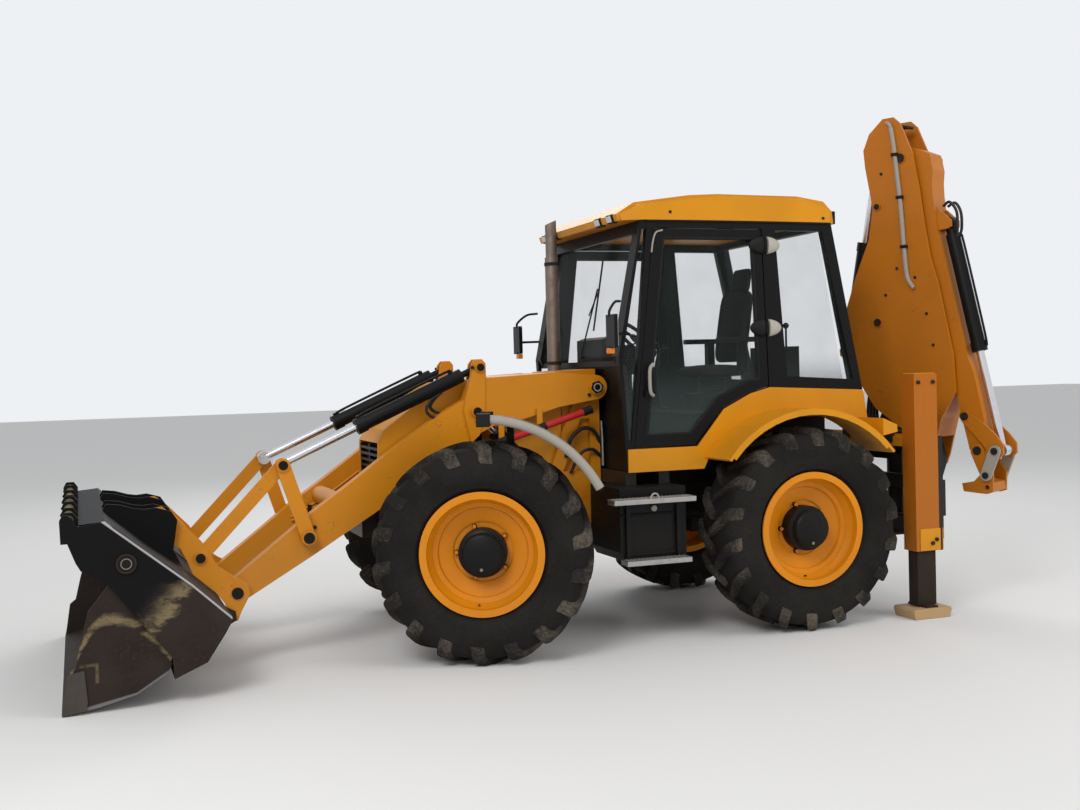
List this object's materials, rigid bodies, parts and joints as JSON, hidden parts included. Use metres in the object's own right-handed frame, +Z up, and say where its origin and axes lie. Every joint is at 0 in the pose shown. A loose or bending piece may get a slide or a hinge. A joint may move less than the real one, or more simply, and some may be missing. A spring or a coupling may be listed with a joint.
{
  "type": "backhoe loader",
  "caption": "Backhoe loader with equal-size steered wheels, cab, clam shovel on linked arms and a parked side-shifting digging arm with a quick hitch",
  "frame": {"origin": "on the ground, at the middle of the bounding box's base", "axes": "+X forward to the shovel, +Y to the machine's left, +Z up"},
  "size_m": [6.7164, 2.7735, 3.7201],
  "materials": {
    "yellow_paint": "faded orange-yellow paint, dusty",
    "worn_paint": "yellow paint worn to grey and rusty steel",
    "black_paint": "satin black paint",
    "dark_casting": "painted casting, dusty",
    "tyre_rubber": "black rubber with grey dust",
    "rod_chrome": "polished chrome",
    "tinted_glass": "clear, lightly green",
    "cab_plastic": "dark trim",
    "lamp_glass": "clear lens over a reflector"
  },
  "bodies": {
    "chassis": {"chassis": "yellow_paint", "engine": "dark_casting", "front_axle": "dark_casting", "rear_axle": "dark_casting", "side_tanks": "black_paint", "cab_frame": "black_paint", "cab_roof": "yellow_paint", "cab_glass": "tinted_glass", "fenders": "yellow_paint", "seat": "cab_plastic", "console": "cab_plastic", "exhaust": "black_paint", "lamps": "lamp_glass"},
    "bonnet": {"bonnet": "yellow_paint", "grille": "black_paint"},
    "door_left": {"door_left": "black_paint", "door_left_glass": "tinted_glass"},
    "door_right": {"door_right": "black_paint", "door_right_glass": "tinted_glass"},
    "knuckle_fl": {"knuckle_fl": "dark_casting"},
    "wheel_fl": {"wheel_fl": "yellow_paint", "tyre_fl": "tyre_rubber"},
    "knuckle_fr": {"knuckle_fr": "dark_casting"},
    "wheel_fr": {"wheel_fr": "yellow_paint", "tyre_fr": "tyre_rubber"},
    "knuckle_rl": {"knuckle_rl": "dark_casting"},
    "wheel_rl": {"wheel_rl": "yellow_paint", "tyre_rl": "tyre_rubber"},
    "knuckle_rr": {"knuckle_rr": "dark_casting"},
    "wheel_rr": {"wheel_rr": "yellow_paint", "tyre_rr": "tyre_rubber"},
    "arms": {"loader_arms": "yellow_paint"},
    "lift_barrel": {"lift_barrels": "black_paint"},
    "lift_rod": {"lift_rods": "rod_chrome"},
    "tilt_barrel": {"tilt_barrels": "black_paint"},
    "tilt_rod": {"tilt_rods": "rod_chrome"},
    "tilt_lever": {"tilt_levers": "yellow_paint"},
    "tilt_link": {"tilt_links": "yellow_paint"},
    "shovel": {"tool_carrier": "yellow_paint", "shovel": "worn_paint"},
    "clam": {"clam_jaw": "worn_paint"},
    "carriage": {"side_carriage": "black_paint"},
    "post": {"kingpost": "black_paint"},
    "boom": {"boom": "yellow_paint"},
    "boom_barrel": {"boom_barrel": "black_paint"},
    "boom_rod": {"boom_rod": "rod_chrome"},
    "dipper": {"dipper": "yellow_paint"},
    "dipper_barrel": {"dipper_barrel": "black_paint"},
    "dipper_rod": {"dipper_rod": "rod_chrome"},
    "crowd_barrel": {"crowd_barrel": "black_paint"},
    "crowd_rod": {"crowd_rod": "rod_chrome"},
    "crowd_lever": {"crowd_levers": "yellow_paint"},
    "crowd_link": {"crowd_links": "yellow_paint"},
    "hitch": {"quick_hitch": "yellow_paint"},
    "stab_left": {"stab_leg_left": "black_paint"},
    "stab_right": {"stab_leg_right": "black_paint"}
  },
  "joints": [
    {"name": "bonnet_lift", "type": "hinge", "parent": "chassis", "child": "bonnet", "pos_m": [0.03002, 0, 1.833], "axis": [0, -1, 0], "range_deg": [0, 50]},
    {"name": "door_left_open", "type": "hinge", "parent": "chassis", "child": "door_left", "pos_m": [-1.33298, 0.835, 2.3], "axis": [0, 0, 1], "range_deg": [0, 70]},
    {"name": "door_right_open", "type": "hinge", "parent": "chassis", "child": "door_right", "pos_m": [-1.33298, -0.835, 2.3], "axis": [0, 0, -1], "range_deg": [0, 70]},
    {"name": "steer_fl", "type": "hinge", "parent": "chassis", "child": "knuckle_fl", "pos_m": [0.73702, 0.7, 0.705], "axis": [0, 0, 1], "range_deg": [-1, 43]},
    {"name": "spin_fl", "type": "hinge", "parent": "knuckle_fl", "child": "wheel_fl", "pos_m": [0.8284, 0.93806, 0.705], "axis": [0.3584, 0.9336, 0], "continuous": true},
    {"name": "steer_fr", "type": "hinge", "parent": "chassis", "child": "knuckle_fr", "pos_m": [0.73702, -0.7, 0.705], "axis": [0, 0, 1], "range_deg": [-2, 44]},
    {"name": "spin_fr", "type": "hinge", "parent": "knuckle_fr", "child": "wheel_fr", "pos_m": [0.64564, -0.93806, 0.705], "axis": [0.3584, 0.9336, 0], "continuous": true},
    {"name": "steer_rl", "type": "hinge", "parent": "chassis", "child": "knuckle_rl", "pos_m": [-1.48298, 0.7, 0.705], "axis": [0, 0, 1], "range_deg": [-22, 22]},
    {"name": "spin_rl", "type": "hinge", "parent": "knuckle_rl", "child": "wheel_rl", "pos_m": [-1.48298, 0.955, 0.705], "axis": [0, 1, 0], "continuous": true},
    {"name": "steer_rr", "type": "hinge", "parent": "chassis", "child": "knuckle_rr", "pos_m": [-1.48298, -0.7, 0.705], "axis": [0, 0, 1], "range_deg": [-23, 23]},
    {"name": "spin_rr", "type": "hinge", "parent": "knuckle_rr", "child": "wheel_rr", "pos_m": [-1.48298, -0.955, 0.705], "axis": [0, 1, 0], "continuous": true},
    {"name": "loader_lift", "type": "hinge", "parent": "chassis", "child": "arms", "pos_m": [-0.18298, 0, 1.72], "axis": [0, -1, 0], "range_deg": [0, 48]},
    {"name": "lift_barrel_turn", "type": "hinge", "parent": "chassis", "child": "lift_barrel", "pos_m": [-0.00298, 0, 0.86], "axis": [0, -1, 0], "range_deg": [-1, 25.35]},
    {"name": "lift_rod_slide", "type": "slide", "parent": "lift_barrel", "child": "lift_rod", "axis": [0.6971, 0, 0.717], "range_m": [-0.005, 0.5299]},
    {"name": "shovel_tilt", "type": "hinge", "parent": "arms", "child": "shovel", "pos_m": [2.32702, 0, 0.49], "axis": [0, 1, 0], "range_deg": [-40, 45]},
    {"name": "tilt_lever_turn", "type": "hinge", "parent": "arms", "child": "tilt_lever", "pos_m": [1.86702, 0, 0.81], "axis": [0, 1, 0], "range_deg": [-30.28, 33.94]},
    {"name": "tilt_link_turn", "type": "hinge", "parent": "tilt_lever", "child": "tilt_link", "pos_m": [2.01702, 0, 1.285], "axis": [0, 1, 0], "range_deg": [-24.45, 21.84]},
    {"name": "tilt_barrel_turn", "type": "hinge", "parent": "arms", "child": "tilt_barrel", "pos_m": [0.66702, 0, 1.88], "axis": [0, -1, 0], "range_deg": [-1.7, 1.79]},
    {"name": "tilt_rod_slide", "type": "slide", "parent": "tilt_barrel", "child": "tilt_rod", "axis": [0.9151, 0, -0.4033], "range_m": [-0.2441, 0.274]},
    {"name": "clam_open", "type": "hinge", "parent": "shovel", "child": "clam", "pos_m": [3.01202, 0, 0.83], "axis": [0, -1, 0], "range_deg": [0, 60]},
    {"name": "sideshift", "type": "slide", "parent": "chassis", "child": "carriage", "axis": [0, 1, 0], "range_m": [-0.8, 0.2]},
    {"name": "slew", "type": "hinge", "parent": "carriage", "child": "post", "pos_m": [-2.84298, 0.3, 0.93], "axis": [0, 0, 1], "range_deg": [-25, 155]},
    {"name": "boom_lower", "type": "hinge", "parent": "post", "child": "boom", "pos_m": [-2.94018, 0.50845, 1.12], "axis": [-0.9063, -0.4226, 0], "range_deg": [0, 62]},
    {"name": "boom_barrel_turn", "type": "hinge", "parent": "post", "child": "boom_barrel", "pos_m": [-2.80283, 0.2139, 1.4], "axis": [0.9063, 0.4226, 0], "range_deg": [-69.36, 1]},
    {"name": "boom_rod_slide", "type": "slide", "parent": "boom_barrel", "child": "boom_rod", "axis": [0.0085, -0.0181, 0.9998], "range_m": [-0.005, 0.426]},
    {"name": "dipper_out", "type": "hinge", "parent": "boom", "child": "dipper", "pos_m": [-2.88947, 0.39969, 3.4], "axis": [0.9063, 0.4226, 0], "range_deg": [0, 90]},
    {"name": "dipper_barrel_turn", "type": "hinge", "parent": "boom", "child": "dipper_barrel", "pos_m": [-2.6528, -0.10784, 1.93], "axis": [0.9063, 0.4226, 0], "range_deg": [-10.53, 1]},
    {"name": "dipper_rod_slide", "type": "slide", "parent": "dipper_barrel", "child": "dipper_rod", "axis": [-0.0769, 0.1649, 0.9833], "range_m": [-0.3217, 0.005]},
    {"name": "hitch_out", "type": "hinge", "parent": "dipper", "child": "hitch", "pos_m": [-3.12613, 0.90723, 1.165], "axis": [0.9063, 0.4226, 0], "range_deg": [0, 100]},
    {"name": "crowd_lever_turn", "type": "hinge", "parent": "dipper", "child": "crowd_lever", "pos_m": [-3.08599, 0.82113, 1.42], "axis": [0.9063, 0.4226, 0], "range_deg": [-1, 52.12]},
    {"name": "crowd_link_turn", "type": "hinge", "parent": "crowd_lever", "child": "crowd_link", "pos_m": [-3.18741, 1.03864, 1.165], "axis": [0.9063, 0.4226, 0], "range_deg": [-51, 1]},
    {"name": "crowd_barrel_turn", "type": "hinge", "parent": "dipper", "child": "crowd_barrel", "pos_m": [-3.02471, 0.68971, 2.88], "axis": [0.9063, 0.4226, 0], "range_deg": [-1, 7.91]},
    {"name": "crowd_rod_slide", "type": "slide", "parent": "crowd_barrel", "child": "crowd_rod", "axis": [-0.0926, 0.1985, -0.9757], "range_m": [-0.2346, 0.005]},
    {"name": "stab_left_lift", "type": "slide", "parent": "chassis", "child": "stab_left", "axis": [0, 0, 1], "range_m": [-0.12, 0.37]},
    {"name": "stab_right_lift", "type": "slide", "parent": "chassis", "child": "stab_right", "axis": [0, 0, 1], "range_m": [-0.12, 0.37]}
  ],
  "couplings": [
    {"joint": "steer_fr", "follows": "steer_fl", "ratio": 1},
    {"joint": "steer_rr", "follows": "steer_rl", "ratio": 1},
    {"joint": "lift_barrel_turn", "follows": "loader_lift", "ratio": 0.50733},
    {"joint": "lift_rod_slide", "follows": "loader_lift", "m_per_rad": 0.62653},
    {"joint": "tilt_lever_turn", "follows": "shovel_tilt", "ratio": 0.73194},
    {"joint": "tilt_link_turn", "follows": "shovel_tilt", "ratio": -0.52103},
    {"joint": "tilt_barrel_turn", "follows": "shovel_tilt", "ratio": 0.017608},
    {"joint": "tilt_rod_slide", "follows": "shovel_tilt", "m_per_rad": 0.34254},
    {"joint": "boom_barrel_turn", "follows": "boom_lower", "ratio": -1.1026},
    {"joint": "boom_rod_slide", "follows": "boom_lower", "m_per_rad": 0.38904},
    {"joint": "dipper_barrel_turn", "follows": "dipper_out", "ratio": -0.10585},
    {"joint": "dipper_rod_slide", "follows": "dipper_out", "m_per_rad": -0.20165},
    {"joint": "crowd_lever_turn", "follows": "hitch_out", "ratio": 0.5112},
    {"joint": "crowd_link_turn", "follows": "hitch_out", "ratio": -0.5},
    {"joint": "crowd_barrel_turn", "follows": "hitch_out", "ratio": 0.069102},
    {"joint": "crowd_rod_slide", "follows": "hitch_out", "m_per_rad": -0.13155}
  ]
}
